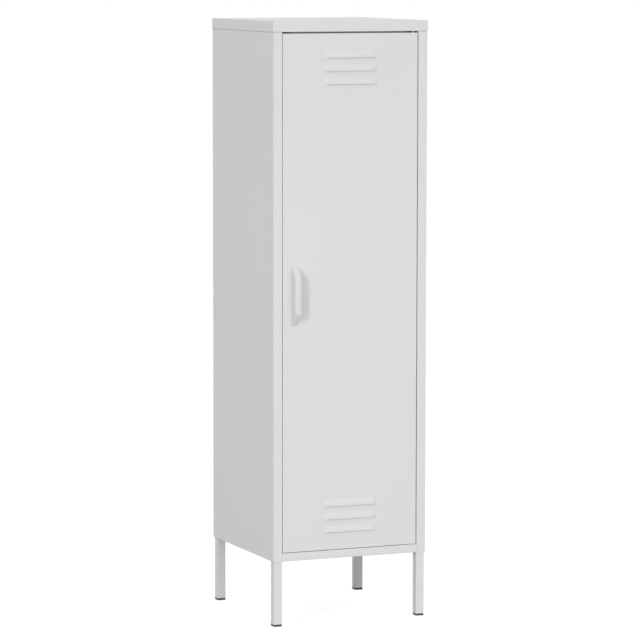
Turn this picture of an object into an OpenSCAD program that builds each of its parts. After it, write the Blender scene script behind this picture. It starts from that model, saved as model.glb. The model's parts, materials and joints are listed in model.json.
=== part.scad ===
// Tall sheet-steel cabinet on four square legs, with one louvred door on pivot pins.
// Millimetres. +Z is up and the door faces -Y. The origin is on the floor, under the
// middle of the box that holds the whole cabinet with its handle.

/* [Cabinet] */
// Width over the side panels
body_w = 380; // [340:1:520]
// Depth from the face of the door frame to the back panel's outer face
body_d = 380; // [300:1:500]
// Height from the floor to the top of the lid
total_h = 1380; // [1100:1:1800]
// Clear height under the body
leg_h = 150; // [90:1:220]
// Thickness of every folded steel sheet
sheet_t = 0.8; // [0.6:0.1:1.2]
// Outer radius of a fold
fold_r = 1.6; // [1.4:0.1:2.4]
// Gap between two sheets that lie side by side
sheet_gap = 0.2; // [0.1:0.05:0.3]

/* [Lid] */
// Height of the lid's turned-down edge
lid_h = 24.5; // [20:0.5:40]
// How far the lid stands out past the side panels
lid_side = 1; // [1:0.1:1.5]
// How far the lid stands out past the door frame
lid_front = 1.5; // [1:0.1:3]
// How far the lid stands out past the back panel
lid_back = 1; // [1:0.1:1.5]
// Depth of the return under the lid's front edge, which holds the upper pivot
lid_sill_d = 17.8; // [17.5:0.1:24]
// From the frame to each end of the lip behind the door's top edge
stop_in = 22; // [18:0.5:40]
// Drop of that lip
stop_drop = 14; // [12.5:0.5:16]
// Radius of the studs welded under the lid's returns
stud_r = 2.5; // [2:0.1:3]
// Length of the studs
stud_l = 8; // [7:0.5:12]
// Distance from the front and the back of the body to the studs
stud_in = 90; // [60:5:140]

/* [Frame] */
// Width of the frame on each side of the door
stile_w = 22; // [20:0.5:30]
// Depth of the front posts
post_d = 34; // [34:0.5:44]
// Depth of the rear posts
rear_post_d = 16; // [16:0.5:26]
// Width of the lip inside each front post
post_lip = 8; // [5:0.5:12]
// Width of the flange at the bottom of a side panel
flange_w = 18; // [16:0.5:20]
// Height of the rail under the door
rail_h = 19; // [17:0.5:30]
// Depth of the rail's lower return
rail_lip = 12; // [6:0.5:20]
// Gap between the rail and the frame at each end
rail_gap = 0.3; // [0.2:0.05:0.5]
// Width of the floor panel's lower returns
base_lip = 15; // [14:0.5:18]
// Distance from the front and the back of the body to the base's screws
base_screw_in = 120; // [80:5:150]

/* [Legs] */
// Outer width of the square leg tube
leg_w = 20; // [18:0.5:22]
// Wall of the leg tube
leg_wall = 1.2; // [1:0.1:2]
// Corner radius of the leg tube
leg_r = 2; // [1.5:0.1:3]
// Thickness of the plate welded on top of each leg
plate_t = 2.5; // [2:0.1:4]
// Length of that plate along the front of the cabinet
plate_w = 48; // [46:1:60]
// Depth of that plate behind the tube
plate_d = 28; // [26:1:40]
// From the tube's outer side to the first leg bolt
bolt_in = 12; // [11:0.5:14]
// From the first leg bolt to the second
bolt_span = 24; // [16:0.5:26]
// From the back of the tube to the leg bolts
bolt_back = 19; // [18.5:0.5:20]
// Height of the foot cap that shows
foot_h = 5; // [3:0.5:12]
// Radius of the foot cap's lower edges
foot_r = 1; // [0.5:0.1:2]
// Height of the cap's plug inside the tube
plug_h = 14; // [8:1:25]

/* [Door] */
// Gap between the door and its frame at the hinged edge
door_gap = 2; // [1.8:0.1:4]
// Gap between the door and its frame at the free edge
door_gap_free = 1.2; // [1:0.1:4]
// Gap between the door and the rail under it
door_gap_low = 1; // [0.9:0.1:4]
// Gap between the door and the lid
door_gap_top = 3.5; // [2.5:0.1:5]
// Depth of the door's folded edge
door_d = 15; // [14:0.5:16]
// Width of the lip folded in behind the door's edge
door_lip = 12; // [8:0.5:13]
// Width of the crown of the stiffener behind the door skin
rib_w = 40; // [24:1:60]
// Depth of that stiffener
rib_d = 11; // [6:0.5:12]
// Width of each of its glued flanges
rib_flange = 12; // [8:0.5:20]
// Distance from the stiffener's ends to the nearest louvre
rib_clear = 25; // [10:1:60]

/* [Louvres] */
// Number of louvres in each group
louvre_n = 3; // [1:1:5]
// Length of a louvre at its lower edge
louvre_l = 127.5; // [90:0.5:200]
// Length of each of its rounded ends
louvre_end = 8; // [6:0.5:15]
// Height of a louvre on the door's face
louvre_h = 15; // [10:0.5:18]
// How far a louvre's lower edge stands out of the door
louvre_out = 3.8; // [3:0.1:6]
// Distance from one louvre to the next
louvre_pitch = 30; // [24:0.5:40]
// From the door's top to the lower edge of the first louvre
louvre_top = 55; // [40:0.5:90]
// From the door's bottom to the lower edge of the last louvre
louvre_bottom = 41; // [25:0.5:60]

/* [Handle] */
// Length of the handle on the door
handle_l = 141; // [125:1:200]
// Length of the flat of the grip
grip_l = 88; // [72:1:110]
// Width of the handle
handle_w = 24; // [20:0.5:28]
// How far the handle stands out of the door
handle_out = 26; // [22:0.5:32]
// Wall of the hollow grip
handle_wall = 2.2; // [1.8:0.1:3.5]
// Radius where the grip bends down to its ends
handle_bend_r = 9; // [5:0.5:14]
// Radius of the grip's edge on its closed side
handle_edge_r = 2.5; // [1.5:0.1:5]
// Radius of its edge over the fingers
grip_round_r = 15; // [8:0.5:15.5]
// Depth of the lip that the fingers catch
grip_lip = 8; // [6:0.5:12]
// Length of the solid at each end of the handle
handle_end = 16; // [13:0.5:20]
// Distance from the door's free edge to the handle
handle_edge = 20; // [14:0.5:60]
// Height of the handle's middle above the door's middle
handle_rise = -0.5; // [-60:0.5:60]
// Radius of the handle's screws
handle_screw_r = 2; // [1.5:0.1:2.5]
// Distance from each end of the handle to its screw
handle_screw_in = 9; // [8.5:0.5:11]
// Depth of the tapped holes in the handle
tap_depth = 5.5; // [4:0.5:6]

/* [Hinge] */
// Radius of the pivot pins
pin_r = 2; // [1.5:0.1:2.5]
// Distance from the door's hinged edge to the pivot axis
pin_edge = 10; // [9:0.1:11]
// Distance from the door's face to the pivot axis
pin_back = 7; // [6.8:0.1:8]
// Length of the taper at a pin's tip
tip_l = 1; // [0.5:0.1:2]
// How much smaller in radius a pin is at its tip
tip_in = 0.6; // [0.3:0.1:1]
// Radius of the lower pin's riveted head
pin_head_r = 3.4; // [2.8:0.1:4]
// Height of that head
pin_head_h = 1.6; // [1:0.1:2.5]
// Radial running clearance of a pin in its hole
running_fit = 0.05; // [0.02:0.01:0.1]
// How far a pin reaches past the sheet that holds its bush
pin_reach = 6; // [4:0.5:8]
// How far the sprung pin can be drawn back
pin_travel = 8.5; // [7.5:0.5:10]
// Thickness of the hinge brackets
bracket_t = 2; // [1.5:0.1:2.5]
// Distance between the two ears of the upper bracket, outside
bracket_h = 36; // [30:1:50]
// Height of the lower bracket
bracket_low_h = 30; // [15:1:50]
// Distance from the pivot axis to the ends of the bracket's ears
ear_reach = 6; // [5:0.5:8]
// Radius of the shoulder on the sprung pin
collar_r = 4.2; // [3.8:0.1:5]
// Thickness of that shoulder
collar_t = 1.5; // [1:0.1:3]
// Length of the finger lever on the sprung pin
lever_l = 16; // [10:1:24]
// Distance from the lower ear to the finger lever
lever_drop = 7; // [5:0.5:12]
// Outer radius of a pivot bush
bush_r = 4; // [3.5:0.1:5]
// Thickness of a bush's flange
bush_flange_t = 1.2; // [0.8:0.1:2]
// Wire diameter of the pin's spring
wire_d = 0.8; // [0.6:0.05:1]
// Number of turns of the spring
spring_turns = 7; // [5:1:9]

/* [Shelves] */
// Height of a shelf's turned-down edge
shelf_h = 18; // [14:0.5:24]
// From the face of the door frame to the front edge of a shelf
shelf_setback = 22; // [21:0.5:26]
// Gap round a shelf
shelf_gap = 1.5; // [1:0.1:3]
// Distance from one slot in the posts to the next
slot_pitch = 50; // [40:1:60]
// From the floor panel to the first slot
slot_first = 82; // [60:1:100]
// Depth-wise width of a slot
slot_w = 9; // [7:0.5:9]
// Height of a slot
slot_h = 6; // [5:0.5:8]
// Thickness of a shelf clip
clip_t = 1.2; // [1:0.1:1.5]
// Width of a shelf clip
clip_w = 12; // [10:0.5:12]
// How far a clip reaches under its shelf
clip_reach = 12; // [8:0.5:16]
// From a slot's middle down to the clip's ledge
clip_drop = 4; // [3.5:0.5:8]

/* [Catch] */
// Height of the magnetic catch
catch_h = 46; // [42:0.5:48]
// Width of the catch
catch_w = 14; // [12:0.5:18]
// Distance from each end of the catch to its screw
catch_screw_in = 4.5; // [4.5:0.1:5]
// Depth at which the catch's screw heads are sunk
sink = 4; // [3:0.1:6]
// Height of the magnet
magnet_h = 24; // [16:1:26]
// Thickness of the magnet
magnet_w = 5; // [3:0.1:6]
// Depth of the steel poles beside the magnet
magnet_d = 9; // [6:0.5:12]
// Thickness of a pole
pole_t = 1.2; // [0.8:0.1:1.5]
// How far the poles stand out of the housing, and the magnet lies behind their ends
pole_out = 0.6; // [0.3:0.1:1]
// Gap between the closed door and what stops it
stop_gap = 0.3; // [0.2:0.1:0.8]
// Radius of the rubber buffers
buffer_r = 4; // [3:0.5:4.5]
// Distance from the door's free edge to the first buffer
buffer_free = 45; // [20:1:120]
// Distance from the door's hinged edge to the second buffer
buffer_hinged = 85; // [50:1:120]

/* [Back] */
// Distance between the two stiffening beads pressed in the back
bead_span = 120; // [80:5:160]
// Width of a bead
bead_w = 12; // [10:0.5:20]
// Depth of a bead
bead_d = 3; // [2:0.1:4]
// Length left flat above and below the beads
bead_margin = 110; // [90:5:250]
// Distance between the two holes for fixing to a wall
wall_hole_span = 240; // [200:5:280]
// Radius of those holes
wall_hole_r = 4; // [3:0.5:5]
// From the top of the lid to those holes
wall_hole_drop = 75; // [60:1:90]
// Number of screws along each side of the back
back_screw_n = 5; // [3:1:7]
// From the floor panel and the lid to the nearest of those screws
back_screw_in = 25; // [15:1:60]

/* [Fasteners] */
// Radius of the bolts that hold the legs
leg_bolt_r = 3; // [2.5:0.1:3]
// Radius of the screws that hold the base
base_screw_r = 2; // [1.5:0.1:2.5]
// Radius of the screws that hold the back
back_screw_r = 2; // [1.5:0.1:2.5]
// Radius of the screws that hold the catch
catch_screw_r = 1.6; // [1.2:0.1:1.8]
// Height of every screw head
head_h = 2.2; // [1.6:0.1:2.4]
// Radius of a screw head for each unit of its shank's radius
head_part = 1.9; // [1.7:0.05:2]
// Half a nut's width over its corners for each unit of its thread's radius
nut_part = 1.85; // [1.7:0.05:2]
// Height of a nut for each unit of its thread's radius
nut_h_part = 1.6; // [1.2:0.1:2]
// Width of a cross recess for each unit of its shank's radius
recess_part = 0.44; // [0.3:0.02:0.6]
// Depth of that recess for each unit of the head's height
recess_d_part = 0.55; // [0.4:0.05:0.7]
// Radial clearance of a screw in a plain hole
hole_fit = 0.3; // [0.2:0.05:0.4]

/* [Hidden] */
$fn = 48;

// One module for each shelf: they share the inside height evenly
shelf_n = 3;

paint = "#dddddd";
steel = "#a9acb0";
nylon = "#eeeeea";
dark = "#3a3c3e";

// Planes that the pieces share
depth_all = handle_out + body_d + head_h;
front_y = handle_out - depth_all / 2;
back_y = front_y + body_d;
side_x = body_w / 2;
post_x = side_x - stile_w;
body_z = leg_h;
floor_z = leg_h + rail_h;
lid_z = total_h - lid_h;
seat_z = lid_z - sheet_gap;
rear_flange_y = back_y - sheet_t;
rear_post_y = rear_flange_y - rear_post_d;
fold_in_r = fold_r - sheet_t;

// Door
door_x = post_x - door_gap;
door_x0 = door_gap_free - post_x;
door_z0 = floor_z + door_gap_low;
door_z1 = lid_z - door_gap_top;
door_h = door_z1 - door_z0;
door_back_y = front_y + door_d;
door_in_x = door_x - sheet_t;
pin_x = door_x - pin_edge;
pin_y = front_y + pin_back;
pin_hole_r = pin_r + running_fit;
bush_flange_r = pin_back - fold_r - sheet_gap;
sill_y = front_y + lid_sill_d;
stop_x = post_x - stop_in;

// Pressed louvres and beads: an arc of this half height and depth
function press_axis(half, out) = (half * half - out * out) / (2 * out);
louvre_axis = press_axis(louvre_h, louvre_out);
louvre_r = louvre_axis + louvre_out;
louvre_straight = louvre_l - 2 * louvre_end;
first_low = door_z0 + louvre_bottom;
first_high = door_z1 - louvre_top;
louvre_edges = [for (i = [0 : louvre_n - 1]) each
  [first_high - i * louvre_pitch, first_low + i * louvre_pitch]];
rib_z0 = first_low + (louvre_n - 1) * louvre_pitch + louvre_h + rib_clear;
rib_z1 = first_high - (louvre_n - 1) * louvre_pitch - rib_clear;

// Handle
handle_x0 = door_x0 + handle_edge;
handle_x = handle_x0 + handle_w / 2;
handle_z = (door_z0 + door_z1) / 2 + handle_rise;
handle_screws_z = [for (s = [-1, 1]) handle_z + s * (handle_l / 2 - handle_screw_in)];

// Legs stand clear of the side panels and of the base's own edges
leg_in = 2 * sheet_t + 2 * sheet_gap;
leg_in_back = leg_in + sheet_t + sheet_gap;
plate_z = floor_z - sheet_t - plate_t;
leg_bolt_places = [[bolt_in, leg_w + bolt_back], [bolt_in + bolt_span, leg_w + bolt_back]];

// Slots and shelves
slot_z0 = floor_z + slot_first;
slot_n = floor((lid_z - slot_pitch - slot_z0) / slot_pitch) + 1;
clip_y_front = front_y + post_d - clip_w / 2 - sheet_t - sheet_gap;
clip_y_rear = rear_post_y + rear_post_d / 2;
inside_h = lid_z - floor_z;
function slot_z(i) = slot_z0 + i * slot_pitch;
function shelf_slot(k) =
  round((k * inside_h / (shelf_n + 1) - shelf_h + clip_drop - slot_first) / slot_pitch);
function ledge_z(k) = slot_z(shelf_slot(k)) - clip_drop;

// Catch and stops
catch_z = slot_z(shelf_slot(2) + 1) + slot_pitch / 2;
catch_screw_z = [for (s = [-1, 1]) catch_z + s * (catch_h / 2 - catch_screw_in)];
catch_y = door_back_y + stop_gap;
catch_screw_y = (catch_y + front_y + post_d) / 2;
buffer_x = [door_x0 + buffer_free, door_x - buffer_hinged];
buffer_z = lid_z - stop_drop + buffer_r + stop_gap;

// Points where the base, the lid and the back are fixed
stud_y = [front_y + stud_in, back_y - stud_in];
base_screw_y = [front_y + base_screw_in, back_y - base_screw_in];
flange_x = side_x - flange_w / 2;
back_screw_x = side_x - stile_w / 2;
back_z0 = body_z + sheet_t;
back_z1 = lid_z + lid_h / 2;
back_screw_z = [for (i = [0 : back_screw_n - 1])
  floor_z + back_screw_in + i * (inside_h - 2 * back_screw_in) / (back_screw_n - 1)];
wall_hole_z = total_h - wall_hole_drop;

// Upper pivot: ears, shoulder, finger lever and the spring between ear and shoulder
ear_z = door_z1 - sheet_t;
low_ear_z = ear_z - bracket_h + bracket_t;
collar_z = ear_z - bracket_t - sheet_gap - collar_t;
lever_z = low_ear_z - bracket_t - lever_drop;
wire_r = wire_d / 2;
spring_r = pin_r + wire_d + sheet_gap;
spring_z0 = low_ear_z + wire_r + sheet_gap;
spring_z1 = collar_z - wire_r - sheet_gap;
spring_pitch = (spring_z1 - spring_z0) / spring_turns;
spring_slope = atan(spring_pitch / (2 * PI * spring_r));
spring_rings = 8;
function coil_centre(u) =
  [spring_r * cos(360 * u), spring_r * sin(360 * u), spring_z0 + spring_pitch * u];
echo(least_gap_in_spring = min([for (u = [0.75 : 0.01 : 1.25])
  norm(coil_centre(u) - coil_centre(0))]) - wire_d);

function unit(v) = v / norm(v);
function left_of(d) = [-d[1], d[0]];

// Flat square with four round corners
module soft_square(w, d, r) {
  translate([r, 0]) square([w - 2 * r, d]);
  translate([0, r]) square([w, d - 2 * r]);
  for (x = [r, w - r], y = [r, d - r])
    translate([x, y]) circle(r);
}

// Block whose edges are all folds
module soft_block(w, d, h, r) {
  intersection() {
    linear_extrude(h) soft_square(w, d, r);
    translate([0, d, 0]) rotate([90, 0, 0]) linear_extrude(d) soft_square(w, h, r);
    rotate([90, 0, 90]) linear_extrude(w) soft_square(d, h, r);
  }
}

// Section of a sheet folded at right angles along its outer line, metal on the left
module fold_line(p, t, r) {
  last = len(p) - 1;
  way = [for (i = [0 : last - 1]) unit(p[i + 1] - p[i])];
  cut = [for (i = [0 : last])
    (i == 0 || i == last) ? 0 : (cross(way[i - 1], way[i]) > 0 ? r : r - t)];
  for (i = [0 : last - 1]) {
    a = p[i] + way[i] * cut[i];
    b = p[i + 1] - way[i] * cut[i + 1];
    side = left_of(way[i]) * t;
    polygon([a, b, b + side, a + side]);
  }
  for (i = [1 : last - 1]) {
    c = p[i] + (way[i] - way[i - 1]) * cut[i];
    u = way[i - 1] * (r + 1);
    v = way[i] * (r + 1);
    intersection() {
      translate(c) difference() {
        circle(r);
        circle(r - t);
      }
      polygon([c, c - v, c - v + u, c + u]);
    }
  }
}

// A section drawn in the YZ plane, run along X from x0 to x1
module run_x(x0, x1) {
  translate([x0, 0, 0]) rotate([90, 0, 90]) linear_extrude(x1 - x0) children();
}

// A section drawn in the XZ plane, run along Y from y0 to y1
module run_y(y0, y1) {
  translate([0, y1, 0]) rotate([90, 0, 0]) linear_extrude(y1 - y0) children();
}

// Round bar along Z for pressed forms: its rounded ends are as long as its radius times part
module capsule(r, straight, part = 1) {
  rotate_extrude($fn = 96) intersection() {
    union() {
      translate([0, -straight / 2]) square([r, straight]);
      for (y = [-straight / 2, straight / 2])
        translate([0, y]) scale([1, part]) circle(r, $fn = 96);
    }
    translate([0, -straight / 2 - r]) square([r, straight + 2 * r]);
  }
}

// Low round screw head with its shank along +Z
module pan_screw(r, shank) {
  difference() {
    union() {
      intersection() {
        translate([0, 0, -head_h]) cylinder(r = head_part * r, h = head_h);
        translate([0, 0, 1.4 * r]) sphere(r = 1.4 * r + head_h);
      }
      cylinder(r = r, h = shank);
    }
    for (a = [0, 90]) rotate(a)
      translate([-r, -recess_part * r / 2, -head_h - 1])
        cube([2 * r, recess_part * r, 1 + recess_d_part * head_h]);
  }
}

// Hexagon nut with its top face on Z = 0
module hex_nut(r) {
  h = nut_h_part * r;
  translate([0, 0, -h]) difference() {
    intersection() {
      cylinder(r = nut_part * r, h = h, $fn = 6);
      translate([0, 0, h / 2]) sphere(r = nut_part * r + 0.1 * h);
    }
    translate([0, 0, -1]) cylinder(r = r + running_fit, h = h + 2);
  }
}

// Places its children at every pair of X and Y
module at_each(xs, ys) {
  for (x = xs, y = ys) translate([x, y, 0]) children();
}

// Puts a leg's corner, drawn at the origin, at one corner of the cabinet
module at_leg(sx, sy) {
  y = sy < 0 ? front_y + leg_in : back_y - leg_in_back;
  translate([sx * (side_x - leg_in), y, 0])
    mirror([sx > 0 ? 1 : 0, 0, 0]) mirror([0, sy > 0 ? 1 : 0, 0]) children();
}

// Lid with its edges turned down and in again, but for its rear edge behind the back panel
module top_panel() {
  w = body_w + 2 * lid_side;
  y0 = front_y - lid_front;
  d = back_y + lid_back - y0;
  rear_cut = rear_flange_y - sheet_gap;
  join_y = sill_y - 4 * fold_r;
  color(paint) difference() {
    union() {
      difference() {
        translate([-w / 2, y0, lid_z]) soft_block(w, d, lid_h, fold_r);
        translate([-w / 2 + sheet_t, y0 + sheet_t, lid_z + sheet_t])
          soft_block(w - 2 * sheet_t, d - 2 * sheet_t, lid_h - 2 * sheet_t, fold_in_r);
        translate([-post_x, sill_y, lid_z - 1])
          cube([2 * post_x, rear_cut - sill_y + 1, 1 + 2 * sheet_t]);
        translate([-stop_x, join_y, lid_z - 1])
          cube([2 * stop_x, sill_y - join_y + 1, 1 + 2 * sheet_t]);
        translate([-w / 2 - 1, rear_cut, lid_z - 1])
          cube([w + 2, y0 + d - rear_cut + 1, 1 + fold_r]);
      }
      run_x(-stop_x, stop_x) fold_line([[join_y, lid_z], [sill_y, lid_z],
        [sill_y, lid_z - stop_drop]], sheet_t, fold_r);
      at_each([-flange_x, flange_x], stud_y)
        translate([0, 0, lid_z - stud_l]) cylinder(r = stud_r, h = stud_l + sheet_t / 2);
    }
    translate([pin_x, pin_y, lid_z - 1]) cylinder(r = bush_r, h = sheet_t + 2);
  }
}

// Top of the left side panel, where its walls turn in under the lid
module side_top(posts, turn_z) {
  d = rear_flange_y - front_y;
  h = 4 * fold_r;
  intersection() {
    translate([-side_x, front_y, seat_z - h]) soft_block(2 * stile_w, d, h, fold_r);
    union() {
      difference() {
        translate([-side_x, front_y, turn_z]) linear_extrude(fold_r) soft_square(stile_w, d, fold_r);
        translate([-side_x + sheet_t, front_y + sheet_t, seat_z - h])
          soft_block(2 * stile_w, d - 2 * sheet_t, h - sheet_t, fold_in_r);
      }
      translate([0, 0, turn_z]) linear_extrude(fold_r - sheet_t / 2) fold_line(posts, sheet_t, fold_r);
    }
  }
}

// Side panel for the left: outer wall, front post, rear post, closed top and lower flange
module side_panel(has_catch) {
  wall = [[-post_x, rear_flange_y], [-side_x, rear_flange_y], [-side_x, front_y], [-post_x, front_y]];
  posts = concat([[-post_x, rear_post_y]], wall,
    [[-post_x, front_y + post_d], [-post_x - post_lip, front_y + post_d]]);
  turn_z = seat_z - fold_r;
  low_y0 = front_y + leg_in + leg_w + leg_in;
  low_y1 = back_y - leg_in_back - leg_w - leg_in;
  color(paint) difference() {
    union() {
      difference() {
        translate([0, 0, body_z]) linear_extrude(floor_z - body_z) fold_line(wall, sheet_t, fold_r);
        translate([-side_x - 1, low_y0, body_z - 1])
          cube([flange_w, low_y1 - low_y0, 1 + 2 * fold_r]);
      }
      translate([0, 0, floor_z]) linear_extrude(turn_z - floor_z) fold_line(posts, sheet_t, fold_r);
      run_y(low_y0, low_y1) fold_line([[-side_x, body_z + 2 * fold_r], [-side_x, body_z],
        [-side_x + flange_w, body_z]], sheet_t, fold_r);
      side_top(posts, turn_z);
    }
    at_each([-post_x], [clip_y_front, clip_y_rear]) for (i = [0 : slot_n - 1])
      translate([-1 - sheet_t, -slot_w / 2, slot_z(i) - slot_h / 2]) cube([2 + sheet_t, slot_w, slot_h]);
    at_each([-flange_x], stud_y)
      translate([0, 0, seat_z - 2 * sheet_t]) cylinder(r = stud_r + hole_fit, h = 3 * sheet_t);
    at_each([-flange_x], base_screw_y)
      translate([0, 0, body_z - 1]) cylinder(r = base_screw_r + hole_fit, h = 3);
    for (z = back_screw_z) translate([-back_screw_x, back_y, z])
      rotate([90, 0, 0]) cylinder(r = back_screw_r + running_fit, h = 3 * sheet_t);
    if (has_catch) for (z = catch_screw_z) translate([-post_x - 2, catch_screw_y, z])
      rotate([0, 90, 0]) cylinder(r = catch_screw_r + running_fit, h = 3);
  }
}

module side_panel_left() {
  side_panel(true);
}

module side_panel_right() {
  mirror([1, 0, 0]) side_panel(false);
}

module back_panel() {
  w = body_w - 2 * sheet_gap;
  bead_axis = press_axis(bead_w / 2, bead_d);
  bead_l = back_z1 - back_z0 - 2 * bead_margin;
  mid_z = (back_z0 + back_z1) / 2;
  color(paint) difference() {
    union() {
      translate([-w / 2, rear_flange_y, back_z0]) cube([w, sheet_t, back_z1 - back_z0]);
      for (x = [-bead_span / 2, bead_span / 2]) intersection() {
        translate([x, back_y + bead_axis, mid_z]) capsule(bead_axis + bead_d, bead_l);
        translate([x - bead_w, back_y - 2 * bead_d, back_z0])
          cube([2 * bead_w, 2 * bead_d - sheet_t / 2, back_z1 - back_z0]);
      }
    }
    for (x = [-bead_span / 2, bead_span / 2])
      translate([x, back_y + bead_axis, mid_z]) capsule(bead_axis + bead_d - sheet_t, bead_l);
    for (x = [-back_screw_x, back_screw_x], z = back_screw_z) translate([x, back_y + 1, z])
      rotate([90, 0, 0]) cylinder(r = back_screw_r + hole_fit, h = sheet_t + 2);
    for (x = [-wall_hole_span / 2, wall_hole_span / 2]) translate([x, back_y + 1, wall_hole_z])
      rotate([90, 0, 0]) cylinder(r = wall_hole_r, h = sheet_t + 2);
  }
}

module bottom_panel() {
  x1 = side_x - sheet_t - sheet_gap;
  y0 = front_y + sheet_t + sheet_gap;
  y1 = rear_flange_y - sheet_t - sheet_gap;
  z0 = body_z + sheet_t;
  rail_x = post_x - rail_gap;
  join_y = y0 + 4 * fold_r;
  color(paint) difference() {
    union() {
      difference() {
        translate([-x1, y0, z0]) soft_block(2 * x1, y1 - y0, floor_z - z0, fold_r);
        translate([-x1 + sheet_t, y0 + sheet_t, z0 + sheet_t])
          soft_block(2 * (x1 - sheet_t), y1 - y0 - 2 * sheet_t, floor_z - z0 - 2 * sheet_t, fold_in_r);
        translate([-x1 + base_lip, y0 - 1, z0 - 1])
          cube([2 * (x1 - base_lip), y1 - y0 - base_lip + 1, 1 + 2 * sheet_t]);
        translate([-rail_x, y0 - 1, z0 - 1]) cube([2 * rail_x, join_y - y0 + 1, rail_h + 2]);
      }
      run_x(-rail_x, rail_x) fold_line([[join_y, floor_z], [front_y, floor_z], [front_y, body_z],
        [front_y + rail_lip, body_z]], sheet_t, fold_r);
    }
    for (sx = [-1, 1], sy = [-1, 1]) at_leg(sx, sy) {
      translate([-sheet_gap, -sheet_gap, z0 - 1])
        cube([leg_w + 3 * sheet_gap, leg_w + 3 * sheet_gap, 1 + 1.5 * sheet_t]);
      for (p = leg_bolt_places) translate([p[0], p[1], floor_z - 2])
        cylinder(r = leg_bolt_r + hole_fit, h = 3);
    }
    at_each([-flange_x, flange_x], base_screw_y)
      translate([0, 0, z0 - 1]) cylinder(r = base_screw_r + hole_fit, h = 3);
    translate([pin_x, pin_y, floor_z - 2]) cylinder(r = bush_r, h = 3);
  }
}

// Leg with its outer corner on the origin and the cabinet towards +X and +Y. Its plate
// stays inside the tube's outline, clear of the folds of the floor panel.
module leg() {
  color(paint) difference() {
    union() {
      translate([0, 0, foot_h]) linear_extrude(plate_z - foot_h) difference() {
        soft_square(leg_w, leg_w, leg_r);
        translate([leg_wall, leg_wall])
          soft_square(leg_w - 2 * leg_wall, leg_w - 2 * leg_wall, leg_r - leg_wall);
      }
      translate([fold_in_r, fold_in_r, plate_z]) linear_extrude(plate_t) {
        soft_square(leg_w - fold_in_r, leg_w + plate_d - fold_in_r, leg_r);
        translate([0, leg_w - fold_in_r]) soft_square(plate_w - fold_in_r, plate_d, leg_r);
      }
    }
    for (p = leg_bolt_places) translate([p[0], p[1], plate_z - 1])
      cylinder(r = leg_bolt_r + hole_fit, h = plate_t + 2);
  }
}

// Plastic cap with a hollow plug that fits the tube
module foot_cap() {
  plug_w = leg_w - 2 * leg_wall - 2 * sheet_gap;
  plug_in = leg_wall + sheet_gap;
  color(dark) {
    intersection() {
      linear_extrude(foot_h) soft_square(leg_w, leg_w, leg_r);
      soft_block(leg_w, leg_w, 3 * foot_h, foot_r);
    }
    translate([plug_in, plug_in, foot_h]) linear_extrude(plug_h) difference() {
      soft_square(plug_w, plug_w, leg_r - plug_in);
      translate([leg_wall, leg_wall]) square(plug_w - 2 * leg_wall);
    }
  }
}

module leg_bolts() {
  color(steel) for (sx = [-1, 1], sy = [-1, 1]) at_leg(sx, sy) for (p = leg_bolt_places)
    translate([p[0], p[1], floor_z]) rotate([180, 0, 0])
      pan_screw(leg_bolt_r, sheet_t + plate_t + 2 * leg_bolt_r);
}

module leg_nuts() {
  color(steel) for (sx = [-1, 1], sy = [-1, 1]) at_leg(sx, sy) for (p = leg_bolt_places)
    translate([p[0], p[1], plate_z]) hex_nut(leg_bolt_r);
}

module lid_nuts() {
  color(steel) at_each([-flange_x, flange_x], stud_y)
    translate([0, 0, seat_z - sheet_t]) hex_nut(stud_r);
}

module base_screws() {
  color(steel) at_each([-flange_x, flange_x], base_screw_y)
    translate([0, 0, body_z]) pan_screw(base_screw_r, 2 * sheet_t + 2 * base_screw_r);
}

module base_nuts() {
  color(steel) at_each([-flange_x, flange_x], base_screw_y)
    translate([0, 0, body_z + 2 * sheet_t]) rotate([180, 0, 0]) hex_nut(base_screw_r);
}

module back_screws() {
  color(steel) for (x = [-back_screw_x, back_screw_x], z = back_screw_z)
    translate([x, back_y, z]) rotate([90, 0, 0]) pan_screw(back_screw_r, 4 * back_screw_r);
}

// The two overlapping fields of a shelf: between the walls and between the posts
module shelf_mass(inset, low_z, high_z) {
  wide = side_x - sheet_t - shelf_gap - inset;
  narrow = post_x - clip_t - sheet_t - inset;
  r = fold_r - inset;
  fields = [[wide, front_y + post_d + shelf_gap + inset, rear_post_y - shelf_gap - inset],
    [narrow, front_y + shelf_setback + inset, back_y - bead_d - shelf_gap - inset]];
  for (f = fields) translate([-f[0], f[1], low_z])
    soft_block(2 * f[0], f[2] - f[1], high_z - low_z, r);
}

module shelf(k) {
  top_z = ledge_z(k) + sheet_gap + shelf_h;
  low_z = top_z - shelf_h;
  color(paint) difference() {
    shelf_mass(0, low_z - 2 * fold_r, top_z);
    shelf_mass(sheet_t, low_z - 2 * fold_r, top_z - sheet_t);
    translate([-side_x, front_y, low_z - 3 * fold_r]) cube([body_w, body_d, 3 * fold_r]);
  }
}

module shelf_lower() {
  shelf(1);
}

module shelf_middle() {
  shelf(2);
}

module shelf_upper() {
  shelf(3);
}

// Clip drawn on a left post: the post's face is X = 0 and the ledge is Z = 0
module shelf_clip() {
  hook_w = slot_w - 1;
  hook_z = clip_drop - slot_h / 2 + sheet_gap;
  hook_x = -sheet_t - sheet_gap - clip_t;
  run_y(-clip_w / 2, clip_w / 2) fold_line([[0, clip_drop + slot_h], [0, -clip_t],
    [clip_reach, -clip_t]], clip_t, clip_t + fold_in_r);
  run_y(-hook_w / 2, hook_w / 2) {
    translate([hook_x, hook_z]) square([clip_t / 2 - hook_x, 2 * clip_t]);
    translate([hook_x, hook_z - slot_h / 2]) square([clip_t, slot_h / 2 + clip_t]);
  }
}

module shelf_clips() {
  color(steel) for (m = [0, 1]) mirror([m, 0, 0]) for (k = [1 : shelf_n])
    at_each([-post_x], [clip_y_front, clip_y_rear]) translate([0, 0, ledge_z(k)]) shelf_clip();
}

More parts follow.
